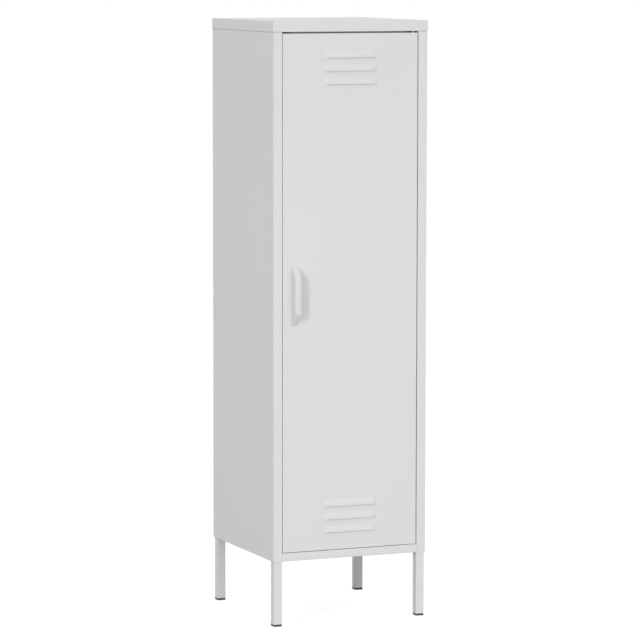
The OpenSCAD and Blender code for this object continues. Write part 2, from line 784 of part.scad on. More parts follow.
// One louvre with its lower edge at Z = z, as a solid of the given radius
module louvre_press(r, z, y1) {
  intersection() {
    translate([0, front_y + louvre_axis, z]) rotate([0, 90, 0])
      capsule(r, louvre_straight, louvre_end / louvre_h);
    translate([-louvre_l / 2, front_y - 2 * louvre_out, z])
      cube([louvre_l, y1 - front_y + 2 * louvre_out, louvre_h]);
  }
}

module door_panel() {
  w = door_x - door_x0;
  notch_z = lever_z - pin_travel - 2 * pin_r;
  color(paint) difference() {
    union() {
      translate([door_x0, door_back_y, door_z0]) rotate([90, 0, 0]) difference() {
        soft_block(w, door_h, door_d, fold_r);
        translate([sheet_t, sheet_t, sheet_t])
          soft_block(w - 2 * sheet_t, door_h - 2 * sheet_t, door_d - 2 * sheet_t, fold_in_r);
        translate([door_lip, door_lip, -1])
          cube([w - 2 * door_lip, door_h - 2 * door_lip, sheet_t + 2]);
      }
      for (z = louvre_edges) louvre_press(louvre_r, z, front_y + sheet_t / 2);
    }
    for (z = louvre_edges) louvre_press(louvre_r - sheet_t, z, front_y + 2 * sheet_t);
    for (z = handle_screws_z) translate([handle_x, front_y + 2, z])
      rotate([90, 0, 0]) cylinder(r = handle_screw_r + hole_fit, h = 3);
    for (z = [door_z0, door_z1]) translate([pin_x, pin_y, z - fold_r])
      cylinder(r = pin_r + hole_fit, h = 2 * fold_r);
    translate([door_x - door_lip - 1, door_back_y - 2 * sheet_t, notch_z])
      cube([door_lip - fold_r, 3 * sheet_t, low_ear_z - notch_z]);
  }
}

module door_stiffener() {
  y0 = front_y + sheet_t;
  x1 = rib_w / 2;
  color(paint) translate([0, 0, rib_z0]) linear_extrude(rib_z1 - rib_z0)
    fold_line([[-x1 - rib_flange, y0], [-x1, y0], [-x1, y0 + rib_d], [x1, y0 + rib_d],
      [x1, y0], [x1 + rib_flange, y0]], sheet_t, fold_r);
}

// Bracket between the door's skin and its rear lip, from a section in XZ
module hinge_bracket(section) {
  color(steel) difference() {
    run_y(front_y + fold_r, door_back_y - fold_r)
      fold_line(section, bracket_t, bracket_t + fold_in_r);
    translate([pin_x, pin_y, section[0][1] - 1])
      cylinder(r = pin_hole_r, h = bracket_h + 2);
  }
}

module hinge_bracket_top() {
  ear_x = pin_x - ear_reach;
  hinge_bracket([[ear_x, ear_z - bracket_h], [door_in_x, ear_z - bracket_h],
    [door_in_x, ear_z], [ear_x, ear_z]]);
}

module hinge_bracket_bottom() {
  ear_x = pin_x - ear_reach;
  z0 = door_z0 + sheet_t;
  hinge_bracket([[ear_x, z0], [door_in_x, z0], [door_in_x, z0 + bracket_low_h]]);
}

module hinge_pin_top() {
  tip_z = lid_z + pin_reach;
  color(steel) translate([pin_x, pin_y, 0]) {
    translate([0, 0, lever_z]) cylinder(r = pin_r, h = tip_z - lever_z - tip_l);
    translate([0, 0, tip_z - tip_l]) cylinder(r1 = pin_r, r2 = pin_r - tip_in, h = tip_l);
    translate([0, 0, collar_z]) cylinder(r = collar_r, h = collar_t);
    translate([0, 0, lever_z]) sphere(r = pin_r);
    translate([0, 0, lever_z]) rotate([0, -90, 0]) cylinder(r = pin_r, h = lever_l);
  }
}

// Coil of round wire, swept from a formula
module hinge_spring() {
  sides = 6;
  rings = spring_turns * spring_rings;
  points = [for (i = [0 : rings], j = [0 : sides - 1])
    let(
      a = 360 * i / spring_rings,
      q = 360 * j / sides,
      out = [cos(a), sin(a), 0],
      up = [sin(a) * sin(spring_slope), -cos(a) * sin(spring_slope), cos(spring_slope)]
    )
    coil_centre(i / spring_rings) + wire_r * (cos(q) * out + sin(q) * up)];
  walls = [for (i = [0 : rings - 1], j = [0 : sides - 1])
    let(a = i * sides + j, b = i * sides + (j + 1) % sides)
    each [[a, b, b + sides], [a, b + sides, a + sides]]];
  ends = [for (j = [1 : sides - 2])
    each [[0, j + 1, j], [rings * sides, rings * sides + j, rings * sides + j + 1]]];
  color(steel) translate([pin_x, pin_y, 0]) polyhedron(points, concat(walls, ends));
}

module hinge_pin_bottom() {
  tip_z = floor_z - sheet_t - pin_reach;
  top_z = door_z0 + sheet_t + bracket_t;
  color(steel) translate([pin_x, pin_y, 0]) {
    translate([0, 0, tip_z]) cylinder(r1 = pin_r - tip_in, r2 = pin_r, h = tip_l);
    translate([0, 0, tip_z + tip_l]) cylinder(r = pin_r, h = top_z - tip_z - tip_l);
    translate([0, 0, top_z]) cylinder(r1 = pin_head_r, r2 = pin_head_r - tip_in, h = pin_head_h);
  }
}

module hinge_washer() {
  color(nylon) translate([pin_x, pin_y, floor_z + sheet_gap]) difference() {
    cylinder(r = bush_flange_r - sheet_gap, h = door_gap_low - 2 * sheet_gap);
    translate([0, 0, -1]) cylinder(r = pin_hole_r, h = door_gap_low + 2);
  }
}

// Flanged bush: the flange stands on Z = 0 and the sleeve goes down through the sheet
module pivot_bush() {
  h = pin_reach;
  color(nylon) difference() {
    union() {
      cylinder(r = bush_flange_r, h = bush_flange_t);
      translate([0, 0, -sheet_t]) cylinder(r = bush_r - running_fit, h = h);
    }
    translate([0, 0, -sheet_t - 1]) cylinder(r = pin_hole_r, h = h + 2);
  }
}

module pivot_bush_top() {
  translate([pin_x, pin_y, lid_z + sheet_t]) pivot_bush();
}

module pivot_bush_bottom() {
  translate([pin_x, pin_y, floor_z - sheet_t]) rotate([180, 0, 0]) pivot_bush();
}

// Side view of the handle: length along X, height out of the door along Y
module grip_side(base_l, top_l, out, r) {
  slope = unit([(top_l - base_l) / 2, out]);
  trim = r * tan(acos(-slope[0]) / 2);
  for (m = [0, 1]) mirror([m, 0]) {
    polygon([[0, 0], [base_l / 2, 0], [top_l / 2, out] - slope * trim,
      [top_l / 2 - trim, out], [0, out]]);
    translate([top_l / 2 - trim, out - r]) circle(r);
  }
}

// Cross-section of the handle, with a tight edge at X = 0 and a round one at X = w
module grip_section(w, out, tight_r, round_r) {
  square([w, out - round_r]);
  square([w - round_r, out - tight_r]);
  translate([tight_r, 0]) square([w - tight_r - round_r, out]);
  translate([tight_r, out - tight_r]) circle(tight_r);
  translate([w - round_r, out - round_r]) circle(round_r);
}

// Solid of a side view and a cross-section, the door's face at Y = 0 and the handle to -Y
module grip_form(x0, x1, base_l, top_l, out, bend_r, tight_r, round_r) {
  intersection() {
    translate([x0, 0, 0]) rotate([180, -90, 0]) linear_extrude(x1 - x0)
      grip_side(base_l, top_l, out, bend_r);
    translate([x0, 0, 0]) rotate([180, 0, 0]) linear_extrude(base_l, center = true)
      grip_section(x1 - x0, out, tight_r, round_r);
  }
}

// Hollow pull, closed on its left side and open to the fingers on its right
module handle() {
  hollow_l = handle_l - 2 * handle_end;
  hollow_top = grip_l - handle_wall;
  hollow_out = handle_out - handle_wall;
  in_r = max(handle_edge_r - handle_wall, handle_wall / 4);
  color(paint) translate([handle_x0, front_y, handle_z]) difference() {
    grip_form(0, handle_w, handle_l, grip_l, handle_out, handle_bend_r, handle_edge_r, grip_round_r);
    grip_form(handle_wall, handle_w - handle_wall, hollow_l, hollow_top, hollow_out,
      handle_bend_r - handle_wall, in_r, grip_round_r - handle_wall);
    grip_form(handle_w / 2, 2 * handle_w, hollow_l, hollow_top + grip_lip,
      handle_out - grip_lip, handle_bend_r / 2, in_r, in_r);
    for (z = handle_screws_z) translate([handle_w / 2, 1, z - handle_z])
      rotate([90, 0, 0]) cylinder(r = handle_screw_r + running_fit, h = tap_depth + 1);
  }
}

module handle_screws() {
  color(steel) for (z = handle_screws_z) translate([handle_x, front_y + sheet_t, z])
    rotate([90, 0, 0]) pan_screw(handle_screw_r, sheet_t + tap_depth - hole_fit);
}

module catch_housing() {
  y0 = catch_y + pole_out;
  y1 = front_y + post_d - sheet_t;
  pocket_w = magnet_w + 2 * pole_t + 2 * sheet_gap;
  pocket_h = magnet_h + 2 * sheet_gap;
  color(nylon) difference() {
    translate([-post_x, y0, catch_z - catch_h / 2]) soft_block(catch_w, y1 - y0, catch_h, foot_r);
    translate([-post_x + (catch_w - pocket_w) / 2, catch_y, catch_z - pocket_h / 2])
      cube([pocket_w, magnet_d + sheet_gap, pocket_h]);
    for (z = catch_screw_z) translate([-post_x, catch_screw_y, z]) rotate([0, 90, 0]) {
      translate([0, 0, -1]) cylinder(r = catch_screw_r + hole_fit, h = catch_w + 2);
      translate([0, 0, catch_w - sink])
        cylinder(r = head_part * catch_screw_r + hole_fit, h = sink + 1);
    }
  }
}

module catch_magnet() {
  x0 = -post_x + (catch_w - magnet_w) / 2 - pole_t;
  z0 = catch_z - magnet_h / 2;
  color(steel) for (x = [x0, x0 + pole_t + magnet_w])
    translate([x, catch_y, z0]) cube([pole_t, magnet_d, magnet_h]);
  color(dark) translate([x0 + pole_t, catch_y + pole_out, z0])
    cube([magnet_w, magnet_d - pole_out, magnet_h]);
}

module catch_screws() {
  color(steel) for (z = catch_screw_z) translate([-post_x + catch_w - sink, catch_screw_y, z])
    rotate([0, -90, 0]) pan_screw(catch_screw_r, catch_w - sink + 2 * catch_screw_r);
}

// Rubber domes on the lip behind the door's top edge
module door_buffers() {
  t = sill_y - catch_y;
  color(dark) for (x = buffer_x) translate([x, sill_y, buffer_z]) rotate([90, 0, 0]) intersection() {
    cylinder(r = buffer_r, h = t);
    translate([0, 0, t - 2 * buffer_r]) sphere(r = 2 * buffer_r);
  }
}

top_panel();
side_panel_left();
side_panel_right();
back_panel();
bottom_panel();
at_leg(-1, -1) leg();  // leg_front_left
at_leg(1, -1) leg();  // leg_front_right
at_leg(-1, 1) leg();  // leg_back_left
at_leg(1, 1) leg();  // leg_back_right
at_leg(-1, -1) foot_cap();  // foot_cap_front_left
at_leg(1, -1) foot_cap();  // foot_cap_front_right
at_leg(-1, 1) foot_cap();  // foot_cap_back_left
at_leg(1, 1) foot_cap();  // foot_cap_back_right
leg_bolts();
leg_nuts();
lid_nuts();
base_screws();
base_nuts();
back_screws();
shelf_lower();
shelf_middle();
shelf_upper();
shelf_clips();
door_panel();
door_stiffener();
hinge_bracket_top();
hinge_bracket_bottom();
hinge_pin_top();
hinge_spring();
hinge_pin_bottom();
hinge_washer();
pivot_bush_top();
pivot_bush_bottom();
handle();
handle_screws();
catch_housing();
catch_magnet();
catch_screws();
door_buffers();
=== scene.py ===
import json
import math

import bmesh
import bpy
from mathutils import Matrix, Vector


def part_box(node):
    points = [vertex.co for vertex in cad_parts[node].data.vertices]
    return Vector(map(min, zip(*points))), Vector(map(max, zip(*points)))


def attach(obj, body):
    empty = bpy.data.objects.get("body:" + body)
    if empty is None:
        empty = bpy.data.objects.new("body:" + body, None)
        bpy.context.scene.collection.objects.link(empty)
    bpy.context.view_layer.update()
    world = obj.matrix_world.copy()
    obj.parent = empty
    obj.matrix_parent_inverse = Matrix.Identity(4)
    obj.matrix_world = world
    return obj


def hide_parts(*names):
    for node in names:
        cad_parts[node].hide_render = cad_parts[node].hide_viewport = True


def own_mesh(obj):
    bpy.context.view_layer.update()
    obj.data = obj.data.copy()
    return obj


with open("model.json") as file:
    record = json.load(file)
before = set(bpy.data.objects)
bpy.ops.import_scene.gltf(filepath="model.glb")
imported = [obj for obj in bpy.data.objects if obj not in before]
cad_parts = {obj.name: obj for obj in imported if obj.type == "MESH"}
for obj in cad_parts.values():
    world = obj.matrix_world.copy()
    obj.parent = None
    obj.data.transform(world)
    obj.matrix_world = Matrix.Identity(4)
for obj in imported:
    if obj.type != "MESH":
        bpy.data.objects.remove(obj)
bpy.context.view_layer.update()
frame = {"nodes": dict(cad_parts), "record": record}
nodes = frame["nodes"]
scene = bpy.context.scene
print("stage: frame loaded,", len(nodes), "nodes")

photoCamera = {
    "spot": (-3.1428, -7.4546, 1.5393),
    "yaw": -0.3989,      # turned to the right of straight ahead
    "pitch": 0.1057,     # looking down
    "roll": 0.0014,
    "focalPixels": 3488.5,
    "imageWidth": 640,
    "sensor": 36.0,
    "farthest": 60.0,
}


def makeCamera(want):
    yaw, pitch, roll = want["yaw"], want["pitch"], want["roll"]
    ahead = Vector((-math.sin(yaw) * math.cos(pitch), math.cos(yaw) * math.cos(pitch),
                    -math.sin(pitch)))
    side = Vector((math.cos(yaw), math.sin(yaw), 0.0))
    up = side.cross(ahead)
    sideTurned = side * math.cos(roll) + up * math.sin(roll)
    upTurned = up * math.cos(roll) - side * math.sin(roll)
    data = bpy.data.cameras.new("photoCamera")
    data.sensor_width = want["sensor"]
    data.lens = want["focalPixels"] / want["imageWidth"] * want["sensor"]
    data.clip_end = want["farthest"]
    camera = bpy.data.objects.new("photoCamera", data)
    axes = Matrix((sideTurned, upTurned, -ahead)).transposed()
    camera.matrix_world = Matrix.Translation(want["spot"]) @ axes.to_4x4()
    scene.collection.objects.link(camera)
    scene.camera = camera


makeCamera(photoCamera)
print("stage: camera placed")


# Short ways to wire the nodes of a material or of a geometry tree
class Wiring:
    def __init__(self, tree):
        self.tree = tree

    def node(self, kind, settings=None, **inputs):
        made = self.tree.nodes.new(kind)
        for name, value in (settings or {}).items():
            setattr(made, name, value)
        for name, value in inputs.items():
            self.feed(made, name.replace("_", " "), value)
        return made

    # Gives a socket a link or a value; the names i0, i1 and so on are places in the node's list
    def feed(self, made, name, value):
        numbered = name[0] == "i" and name[1:].isdigit()
        socket = made.inputs[int(name[1:]) if numbered else name]
        if isinstance(value, bpy.types.NodeSocket):
            self.tree.links.new(value, socket)
        else:
            socket.default_value = value

    def math(self, operation, a, b=0.0):
        return self.node("ShaderNodeMath", {"operation": operation}, i0=a, i1=b).outputs[0]

    def vector(self, x=0.0, y=0.0, z=0.0):
        return self.node("ShaderNodeCombineXYZ", X=x, Y=y, Z=z).outputs[0]

    def ramp(self, value, low, high, toLow, toHigh):
        made = self.node("ShaderNodeMapRange", {"clamp": True}, Value=value, From_Min=low,
                         From_Max=high, To_Min=toLow, To_Max=toHigh)
        return made.outputs[0]

    def noise(self, place, scale, detail=2.0, roughness=0.5):
        return self.node("ShaderNodeTexNoise", Vector=place, Scale=scale, Detail=detail,
                         Roughness=roughness).outputs["Fac"]

    def tone(self, colour, factor):
        grey = self.node("ShaderNodeCombineColor", i0=factor, i1=factor, i2=factor).outputs[0]
        mixed = self.node("ShaderNodeMix", {"data_type": "RGBA", "blend_type": "MULTIPLY"},
                          Factor=1.0, A=(*colour, 1.0), B=grey)
        return mixed.outputs["Result"]

    def bump(self, shader, height, distance):
        made = self.node("ShaderNodeBump", Height=height, Strength=1.0, Distance=distance)
        self.feed(shader, "Normal", made.outputs["Normal"])


def newMaterial(name):
    material = bpy.data.materials.new(name)
    material.use_nodes = True
    wiring = Wiring(material.node_tree)
    shader = material.node_tree.nodes["Principled BSDF"]
    place = wiring.node("ShaderNodeTexCoord").outputs["Object"]
    return material, wiring, shader, place


noiseSpan = (0.3, 0.7)      # nearly all values of a noise lie in this range

powderCoat = {
    "colour": (0.80, 0.80, 0.80),
    "cloudScale": 2.4, "cloudDepth": 0.012,       # slow drift of tone over a panel
    "speckScale": 1500.0, "speckDepth": 0.02, "speckSpan": (0.35, 0.65),    # pigment grain
    "peelScale": 620.0, "peelHeight": 0.000012,   # orange peel
    "roughness": 0.32, "roughnessDrift": 0.07, "driftScale": 11.0,
    "touchCore": 0.03, "touchReach": 0.16,        # faint handling round the grip
    "touchDepth": 0.012, "touchPolish": 0.06,
    "blotchScale": 38.0, "blotchSpan": (0.45, 0.75),
}


def makePowderCoat(want, middle):
    material, w, shader, place = newMaterial("powderCoat")
    cloud = w.ramp(w.noise(place, want["cloudScale"]), *noiseSpan, 1.0 - want["cloudDepth"], 1.0)
    speck = w.ramp(w.noise(place, want["speckScale"], detail=1.0), *want["speckSpan"],
                   1.0 - want["speckDepth"], 1.0)
    apart = w.node("ShaderNodeVectorMath", {"operation": "DISTANCE"}, i0=place, i1=middle)
    near = w.ramp(apart.outputs["Value"], want["touchCore"], want["touchReach"], 1.0, 0.0)
    blotch = w.ramp(w.noise(place, want["blotchScale"], detail=4.0, roughness=0.6),
                    *want["blotchSpan"], 0.0, 1.0)
    touched = w.math("MULTIPLY", near, blotch)
    fade = w.math("SUBTRACT", 1.0, w.math("MULTIPLY", touched, want["touchDepth"]))
    tone = w.math("MULTIPLY", w.math("MULTIPLY", cloud, speck), fade)
    w.feed(shader, "Base Color", w.tone(want["colour"], tone))
    drift = w.ramp(w.noise(place, want["driftScale"], detail=3.0), *noiseSpan, -0.5, 0.5)
    rough = w.math("ADD", want["roughness"], w.math("MULTIPLY", drift, want["roughnessDrift"]))
    polish = w.math("MULTIPLY", touched, want["touchPolish"])
    w.feed(shader, "Roughness", w.math("SUBTRACT", rough, polish))
    w.bump(shader, w.noise(place, want["peelScale"]), want["peelHeight"])
    return material


zincPlate = {
    "colour": (0.72, 0.73, 0.74),
    "grainScale": 900.0, "grainHeight": 0.000006,
    "spotScale": 130.0, "spotDepth": 0.10,
    "roughness": 0.22, "roughnessDrift": 0.12,
}


def makeZincPlate(want):
    material, w, shader, place = newMaterial("zincPlate")
    spots = w.noise(place, want["spotScale"], detail=5.0, roughness=0.65)
    tone = w.ramp(spots, *noiseSpan, 1.0 - want["spotDepth"], 1.0)
    w.feed(shader, "Base Color", w.tone(want["colour"], tone))
    w.feed(shader, "Metallic", 1.0)
    dull = want["roughness"] + want["roughnessDrift"]
    w.feed(shader, "Roughness", w.ramp(spots, *noiseSpan, dull, want["roughness"]))
    w.bump(shader, w.noise(place, want["grainScale"], detail=3.0), want["grainHeight"])
    return material


mouldedPlastics = {
    "naturalNylon": {
        "colour": (0.76, 0.75, 0.70), "mottleScale": 210.0, "toneDepth": 0.04,
        "roughness": 0.42, "roughnessDrift": 0.08, "grainScale": 800.0, "grainHeight": 0.000008},
    "darkFootPlastic": {
        "colour": (0.050, 0.050, 0.052), "mottleScale": 210.0, "toneDepth": 0.10,
        "roughness": 0.48, "roughnessDrift": 0.08, "grainScale": 1100.0, "grainHeight": 0.00002},
    "softRubber": {
        "colour": (0.030, 0.030, 0.031), "mottleScale": 210.0, "toneDepth": 0.15,
        "roughness": 0.78, "roughnessDrift": 0.08, "grainScale": 1400.0, "grainHeight": 0.00002},
}


def makePlastic(name, want):
    material, w, shader, place = newMaterial(name)
    mottled = w.noise(place, want["mottleScale"], detail=3.0)
    tone = w.ramp(mottled, *noiseSpan, 1.0 - want["toneDepth"], 1.0)
    w.feed(shader, "Base Color", w.tone(want["colour"], tone))
    dull = want["roughness"] + want["roughnessDrift"]
    w.feed(shader, "Roughness", w.ramp(mottled, *noiseSpan, want["roughness"], dull))
    w.bump(shader, w.noise(place, want["grainScale"]), want["grainHeight"])
    return material


gripLow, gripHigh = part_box("handle")
finishes = {
    "paint": makePowderCoat(powderCoat, (gripLow + gripHigh) / 2),
    "zinc": makeZincPlate(zincPlate),
    "nylon": makePlastic("naturalNylon", mouldedPlastics["naturalNylon"]),
    "foot_plastic": makePlastic("darkFootPlastic", mouldedPlastics["darkFootPlastic"]),
    "buffer_rubber": makePlastic("softRubber", mouldedPlastics["softRubber"]),
}
for subpart in frame["record"]["subparts"]:
    for slot in nodes[subpart["node"]].material_slots:
        slot.material = finishes[subpart["material_slot"]]
print("stage: finishes made,", len(finishes))

catchMagnet = {
    "ferrite": (0.045, 0.045, 0.048),
    "poleThick": 0.0012,        # steel plate on each side of the magnet
    "roughness": 0.62,
    "grainScale": 700.0, "grainDepth": 0.2,
    "bumpScale": 1300.0, "bumpHeight": 0.00001,
}


def makeMagnet(want, low, high):
    material, w, shader, place = newMaterial("catchMagnet")
    across = w.node("ShaderNodeSeparateXYZ", Vector=place).outputs["X"]
    fromMiddle = w.math("ABSOLUTE", w.math("SUBTRACT", across, (low.x + high.x) / 2))
    steel = w.math("GREATER_THAN", fromMiddle, (high.x - low.x) / 2 - want["poleThick"])
    grain = w.ramp(w.noise(place, want["grainScale"], detail=3.0), *noiseSpan,
                   1.0 - want["grainDepth"], 1.0)
    colour = w.node("ShaderNodeMix", {"data_type": "RGBA"}, Factor=steel,
                    A=w.tone(want["ferrite"], grain), B=w.tone(zincPlate["colour"], grain))
    w.feed(shader, "Base Color", colour.outputs["Result"])
    w.feed(shader, "Metallic", steel)
    rough = w.ramp(steel, 0.0, 1.0, want["roughness"], zincPlate["roughness"])
    w.feed(shader, "Roughness", rough)
    w.bump(shader, w.noise(place, want["bumpScale"]), want["bumpHeight"])
    return material


nodes["catch_magnet"].material_slots[0].material = makeMagnet(catchMagnet, *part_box("catch_magnet"))


# Each separate solid of a CAD node as its lowest and highest corners
def solidBoxes(nodeName, joinDistance=1e-6):
    work = bmesh.new()
    work.from_mesh(nodes[nodeName].data)
    bmesh.ops.remove_doubles(work, verts=work.verts, dist=joinDistance)
    waiting, boxes = set(work.verts), []
    while waiting:
        stack, solid = [waiting.pop()], []
        while stack:
            vert = stack.pop()
            solid.append(vert.co)
            for edge in vert.link_edges:
                other = edge.other_vert(vert)
                if other in waiting:
                    waiting.remove(other)
                    stack.append(other)
        boxes.append((Vector([min(co[k] for co in solid) for k in range(3)]),
                      Vector([max(co[k] for co in solid) for k in range(3)])))
    work.free()
    return sorted(boxes, key=lambda box: tuple(box[0]))


# A geometry tree with named inputs; the first is the mesh that it starts from
def newTree(name, sockets):
    tree = bpy.data.node_groups.new(name, "GeometryNodeTree")
    tree.interface.new_socket("Geometry", in_out="OUTPUT", socket_type="NodeSocketGeometry")
    tree.interface.new_socket("Geometry", in_out="INPUT", socket_type="NodeSocketGeometry")
    for label, kind in sockets.items():
        tree.interface.new_socket(label, in_out="INPUT", socket_type="NodeSocket" + kind)
    w = Wiring(tree)
    given = w.node("NodeGroupInput").outputs
    return tree, w, given


# Ends a tree: a copy of one shape on each point, with its material
def standOnPoints(w, given, shape, **turned):
    placed = w.node("GeometryNodeInstanceOnPoints", Points=given["Geometry"], Instance=shape,
                    **turned).outputs[0]
    real = w.node("GeometryNodeRealizeInstances", Geometry=placed).outputs[0]
    painted = w.node("GeometryNodeSetMaterial", Geometry=real,
                     Material=given["Material"]).outputs[0]
    w.node("NodeGroupOutput", Geometry=painted)


# Runs a tree on bare points and leaves a plain mesh
def growMesh(name, tree, values, points, aims=None, crease=32.0):
    seed = bpy.data.meshes.new(name + "Seed")
    seed.from_pydata(points, [], [])
    if aims:
        aim = seed.attributes.new("aim", "FLOAT_VECTOR", "POINT")
        for spot, direction in zip(aim.data, aims):
            spot.vector = direction
    grown = bpy.data.objects.new(name, seed)
    scene.collection.objects.link(grown)
    modifier = grown.modifiers.new("grow", "NODES")
    modifier.node_group = tree
    for socket in tree.interface.items_tree:
        if socket.in_out == "INPUT" and socket.name in values:
            modifier[socket.identifier] = values[socket.name]
    bpy.context.view_layer.update()
    evaluated = grown.evaluated_get(bpy.context.evaluated_depsgraph_get())
    mesh = bpy.data.meshes.new_from_object(evaluated)
    grown.modifiers.clear()
    grown.data = mesh
    bpy.data.meshes.remove(seed)
    if "aim" in mesh.attributes:
        mesh.attributes.remove(mesh.attributes["aim"])
    mesh.shade_smooth()
    mesh.set_sharp_from_angle(angle=math.radians(crease))
    print("stage:", name, "grown,", len(mesh.polygons), "faces")
    return grown


crossScrews = {
    "headPart": 1.9,                # head radius for each unit of the shank's radius
    "headHeight": 0.0022,
    "crown": 0.62,                  # under 1 is boxier, over 1 more pointed
    "headSegments": 28, "headRings": 14, "shankSides": 16,
    "sunkPart": 0.3,                # how far up the head the shank reaches
    "tipPart": 0.72,                # radius at the end of the shank
    "recessWidth": 0.46, "recessReach": 1.15, "recessTaper": 0.42, "recessDepth": 0.62,
    "threadPitch": 0.36, "threadDepth": 0.15, "turnSteps": 5, "plainNeck": 0.35,
}


def makeScrewTree(want):
    tree, w, given = newTree("crossScrews", {
        "Head Radius": "Float", "Head Height": "Float", "Crown": "Float",
        "Shank Radius": "Float", "Shank Length": "Float",
        "Recess Width": "Float", "Recess Reach": "Float", "Recess Taper": "Float",
        "Recess Depth": "Float", "Thread Pitch": "Float", "Thread Depth": "Float",
        "Thread Rings": "Int", "Plain Neck": "Float", "Material": "Material"})

    def coordinates():
        place = w.node("GeometryNodeInputPosition").outputs[0]
        return w.node("ShaderNodeSeparateXYZ", Vector=place).outputs

    def reshaped(mesh, x, y, z):
        return w.node("GeometryNodeSetPosition", Geometry=mesh,
                      Position=w.vector(x, y, z)).outputs[0]

    # low dome with steep flanks and a flat seat on Z = 0
    def dome():
        x, y, z = coordinates()
        away = w.math("SQRT", w.math("ADD", w.math("MULTIPLY", x, x), w.math("MULTIPLY", y, y)))
        away = w.math("MAXIMUM", away, 0.001)      # the pole must not give a power of zero
        ball = w.node("GeometryNodeMeshUVSphere", Segments=want["headSegments"],
                      Rings=want["headRings"], Radius=1.0).outputs["Mesh"]
        steep = w.math("POWER", away, w.math("SUBTRACT", given["Crown"], 1.0))
        spread = w.math("MULTIPLY", given["Head Radius"], steep)
        steep = w.math("POWER", w.math("MAXIMUM", z, 0.0), given["Crown"])
        rise = w.math("MULTIPLY", given["Head Height"], steep)
        return reshaped(ball, w.math("MULTIPLY", x, spread), w.math("MULTIPLY", y, spread), rise)

    # shank with a rolled thread and a chamfered end
    def threaded():
        x, y, z = coordinates()
        sunk = w.math("MULTIPLY", given["Head Height"], want["sunkPart"])
        long = w.math("ADD", given["Shank Length"], sunk)
        rod = w.node("GeometryNodeMeshCylinder", Vertices=want["shankSides"],
                     Side_Segments=given["Thread Rings"], Radius=given["Shank Radius"],
                     Depth=long).outputs["Mesh"]
        turned = w.math("DIVIDE", w.math("ARCTAN2", y, x), 2 * math.pi)
        turned = w.math("ADD", w.math("DIVIDE", z, given["Thread Pitch"]), turned)
        wave = w.math("MULTIPLY", w.math("PINGPONG", turned, 0.5), 2.0)
        below = w.math("SUBTRACT", w.math("DIVIDE", long, 2.0), z)      # from the rod's upper end
        cut = w.math("MULTIPLY", w.math("GREATER_THAN", below, given["Plain Neck"]),
                     w.math("MULTIPLY", wave, given["Thread Depth"]))
        tip = w.ramp(w.math("SUBTRACT", long, below), 0.0, given["Shank Radius"],
                     want["tipPart"], 1.0)
        keep = w.math("SUBTRACT", 1.0, w.math("DIVIDE", cut, given["Shank Radius"]))
        keep = w.math("MULTIPLY", tip, keep)
        shank = reshaped(rod, w.math("MULTIPLY", x, keep), w.math("MULTIPLY", y, keep), z)
        down = w.math("SUBTRACT", sunk, w.math("DIVIDE", long, 2.0))
        return w.node("GeometryNodeTransform", Geometry=shank,
                      Translation=w.vector(z=down)).outputs[0]

    # the two bars of a cross recess, narrower towards its floor
    def recessBars():
        x, y, z = coordinates()
        size = w.vector(w.math("MULTIPLY", given["Recess Reach"], 2.0), given["Recess Width"],
                        w.math("MULTIPLY", given["Recess Depth"], 2.0))
        bar = w.node("GeometryNodeMeshCube", Size=size).outputs["Mesh"]
        narrow = w.ramp(z, w.math("MULTIPLY", given["Recess Depth"], -1.0), given["Recess Depth"],
                        given["Recess Taper"], w.math("SUBTRACT", 2.0, given["Recess Taper"]))
        bar = reshaped(bar, w.math("MULTIPLY", x, narrow), y, z)
        return [w.node("GeometryNodeTransform", Geometry=bar,
                       Translation=w.vector(z=given["Head Height"]),
                       Rotation=(0.0, 0.0, turn)).outputs[0] for turn in (0.0, math.pi / 2)]

    whole = w.node("GeometryNodeMeshBoolean", {"operation": "UNION", "solver": "EXACT"})
    for part in (dome(), threaded()):
        w.feed(whole, "Mesh 2", part)
    cross = w.node("GeometryNodeMeshBoolean", {"operation": "DIFFERENCE", "solver": "EXACT"},
                   Mesh_1=whole.outputs["Mesh"])
    for part in recessBars():
        w.feed(cross, "Mesh 2", part)
    aim = w.node("GeometryNodeInputNamedAttribute", {"data_type": "FLOAT_VECTOR"}, Name="aim")
    turn = w.node("FunctionNodeAlignRotationToVector", {"axis": "Z"},
                  Vector=aim.outputs["Attribute"]).outputs[0]
    standOnPoints(w, given, cross.outputs["Mesh"], Rotation=turn)
    return tree


def placeScrews(want, tree, name, node, body, outward):
    outward = Vector(outward)
    axis = max(range(3), key=lambda k: abs(outward[k]))
    boxes = solidBoxes(node)
    low, high = boxes[0]
    across = [high[k] - low[k] for k in range(3) if k != axis]
    headHeight = want["headHeight"]
    shankRadius = max(across) / 2 / want["headPart"]
    shankLength = high[axis] - low[axis] - headHeight
    points = []
    for low, high in boxes:
        seat = (low + high) / 2
        seat[axis] = high[axis] - headHeight if outward[axis] > 0 else low[axis] + headHeight
        points.append(tuple(seat))
    pitch = want["threadPitch"] * shankRadius
    values = {
        "Head Radius": shankRadius * want["headPart"], "Head Height": headHeight,
        "Crown": want["crown"], "Shank Radius": shankRadius, "Shank Length": shankLength,
        "Recess Width": want["recessWidth"] * shankRadius,
        "Recess Reach": want["recessReach"] * shankRadius,
        "Recess Taper": want["recessTaper"], "Recess Depth": want["recessDepth"] * headHeight,
        "Thread Pitch": pitch, "Thread Depth": want["threadDepth"] * shankRadius,
        "Thread Rings": int(shankLength / pitch * want["turnSteps"]),
        "Plain Neck": want["plainNeck"] * shankRadius + want["sunkPart"] * headHeight,
        "Material": finishes["zinc"],
    }
    screws = growMesh(name, tree, values, points, [tuple(outward)] * len(points))
    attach(screws, body)
    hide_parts(node)


